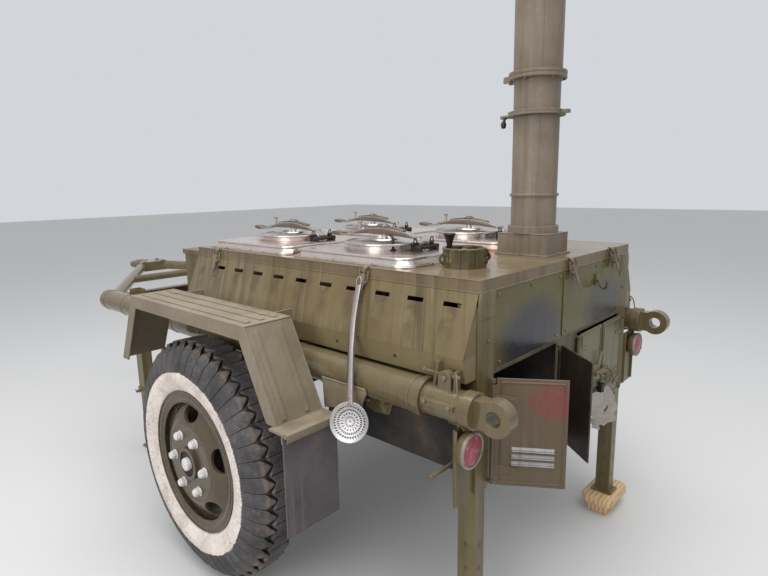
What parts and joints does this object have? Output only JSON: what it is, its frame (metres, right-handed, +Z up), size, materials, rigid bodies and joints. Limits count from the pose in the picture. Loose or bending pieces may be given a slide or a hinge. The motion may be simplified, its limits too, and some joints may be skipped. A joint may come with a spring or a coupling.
{
  "type": "single-axle field kitchen trailer",
  "caption": "Single-axle towed field kitchen with boilers under hinged lids, rear fireboxes with doors, a folding chimney, mudguards and sliding parking legs.",
  "frame": {"origin": "middle of the footprint's length and width, on the ground", "axes": "+X towards the tow ring, +Y to the left, +Z up"},
  "size_m": [3.7528, 1.93, 2.45],
  "materials": {
    "olive_paint": "satin olive drab paint, worn and dusty",
    "stove_steel": "heat-darkened plate with soot and rust",
    "pan_steel": "dull stainless steel with brown stains",
    "bow_steel": "bare steel browned by heat",
    "tyre": "dusty black rubber with a white painted sidewall",
    "flap_rubber": "grey rubber sheet",
    "lamp_red": "red ribbed lens",
    "tin": "dull tinned sheet",
    "pine": "raw pine"
  },
  "bodies": {
    "chassis": {"side_tube_left": "olive_paint", "side_tube_right": "olive_paint", "rear_eyes": "olive_paint", "cross_members": "olive_paint", "leg_posts": "olive_paint", "drawbar": "olive_paint", "tow_ring": "olive_paint", "torsion_beam": "olive_paint", "swing_arm_left": "olive_paint", "swing_arm_right": "olive_paint", "mudguard_left": "olive_paint", "mudguard_right": "olive_paint", "body_side_left": "olive_paint", "body_side_right": "olive_paint", "rear_panels": "olive_paint", "front_wall": "olive_paint", "deck": "olive_paint", "door_pins": "olive_paint", "front_box": "olive_paint", "front_box_walls": "olive_paint", "front_box_ends": "olive_paint", "chimney_base": "olive_paint", "chimney_lower": "olive_paint", "filler": "olive_paint", "latches": "olive_paint", "lamp_housings": "olive_paint", "firebox_left": "stove_steel", "firebox_right": "stove_steel", "front_stove": "stove_steel", "boiler_rear_left": "pan_steel", "boiler_rear_right": "pan_steel", "boiler_front_left": "pan_steel", "boiler_front_right": "pan_steel", "mud_flaps": "flap_rubber", "lamp_lenses": "lamp_red", "skimmer": "tin", "ground_block": "pine"},
    "wheel_left": {"hub_left": "olive_paint", "wheel_rim_left": "olive_paint", "tyre_left": "tyre"},
    "wheel_right": {"hub_right": "olive_paint", "wheel_rim_right": "olive_paint", "tyre_right": "tyre"},
    "lid_rear_left": {"lid_rear_left": "bow_steel"},
    "lid_rear_right": {"lid_rear_right": "bow_steel"},
    "lid_front_left": {"lid_front_left": "bow_steel"},
    "lid_front_right": {"lid_front_right": "bow_steel"},
    "door_left_outer": {"door_left_outer": "olive_paint"},
    "door_left_inner": {"door_left_inner": "olive_paint"},
    "door_right_inner": {"door_right_inner": "olive_paint"},
    "door_right_outer": {"door_right_outer": "olive_paint"},
    "front_box_lid": {"front_box_lid": "olive_paint", "front_box_lid_rim": "olive_paint"},
    "chimney_upper": {"chimney_upper": "olive_paint"},
    "leg_rear_left": {"leg_rear_left": "olive_paint"},
    "leg_rear_right": {"leg_rear_right": "olive_paint"},
    "leg_front_left": {"leg_front_left": "olive_paint"},
    "leg_front_right": {"leg_front_right": "olive_paint"}
  },
  "joints": [
    {"name": "wheel_spin_left", "type": "hinge", "parent": "chassis", "child": "wheel_left", "pos_m": [-0.62958, 0.842, 0.47], "axis": [0, 1, 0], "continuous": true},
    {"name": "wheel_spin_right", "type": "hinge", "parent": "chassis", "child": "wheel_right", "pos_m": [-0.62958, -0.842, 0.47], "axis": [0, 1, 0], "continuous": true},
    {"name": "lid_rear_left_hinge", "type": "hinge", "parent": "chassis", "child": "lid_rear_left", "pos_m": [-1.24958, 0.29, 1.289], "axis": [0, -1, 0], "range_deg": [0, 100]},
    {"name": "lid_rear_right_hinge", "type": "hinge", "parent": "chassis", "child": "lid_rear_right", "pos_m": [-1.24958, -0.29, 1.289], "axis": [0, -1, 0], "range_deg": [0, 100]},
    {"name": "lid_front_left_hinge", "type": "hinge", "parent": "chassis", "child": "lid_front_left", "pos_m": [-0.65958, 0.265, 1.289], "axis": [0, -1, 0], "range_deg": [0, 100]},
    {"name": "lid_front_right_hinge", "type": "hinge", "parent": "chassis", "child": "lid_front_right", "pos_m": [-0.65958, -0.265, 1.289], "axis": [0, -1, 0], "range_deg": [0, 100]},
    {"name": "door_left_outer_hinge", "type": "hinge", "parent": "chassis", "child": "door_left_outer", "pos_m": [-1.69558, 0.52, 0.772], "axis": [0, 0, 1], "range_deg": [-53, 57]},
    {"name": "door_left_inner_hinge", "type": "hinge", "parent": "chassis", "child": "door_left_inner", "pos_m": [-1.69558, 0.078, 0.772], "axis": [0, 0, 1], "range_deg": [-52, 53]},
    {"name": "door_right_inner_hinge", "type": "hinge", "parent": "chassis", "child": "door_right_inner", "pos_m": [-1.69558, -0.078, 0.772], "axis": [0, 0, 1], "range_deg": [-105, 0]},
    {"name": "door_right_outer_hinge", "type": "hinge", "parent": "chassis", "child": "door_right_outer", "pos_m": [-1.69558, -0.52, 0.772], "axis": [0, 0, 1], "range_deg": [0, 105]},
    {"name": "box_lid_hinge", "type": "hinge", "parent": "chassis", "child": "front_box_lid", "pos_m": [-0.15158, 0, 1.202], "axis": [0, -1, 0], "range_deg": [0, 95]},
    {"name": "chimney_fold", "type": "hinge", "parent": "chassis", "child": "chimney_upper", "pos_m": [-1.38758, -0.06, 1.876], "axis": [0, 1, 0], "range_deg": [0, 90]},
    {"name": "leg_rear_left_slide", "type": "slide", "parent": "chassis", "child": "leg_rear_left", "axis": [0, 0, 1], "range_m": [0, 0.4]},
    {"name": "leg_rear_right_slide", "type": "slide", "parent": "chassis", "child": "leg_rear_right", "axis": [0, 0, 1], "range_m": [0, 0.4]},
    {"name": "leg_front_left_slide", "type": "slide", "parent": "chassis", "child": "leg_front_left", "axis": [0, 0, 1], "range_m": [0, 0.32]},
    {"name": "leg_front_right_slide", "type": "slide", "parent": "chassis", "child": "leg_front_right", "axis": [0, 0, 1], "range_m": [0, 0.32]}
  ]
}
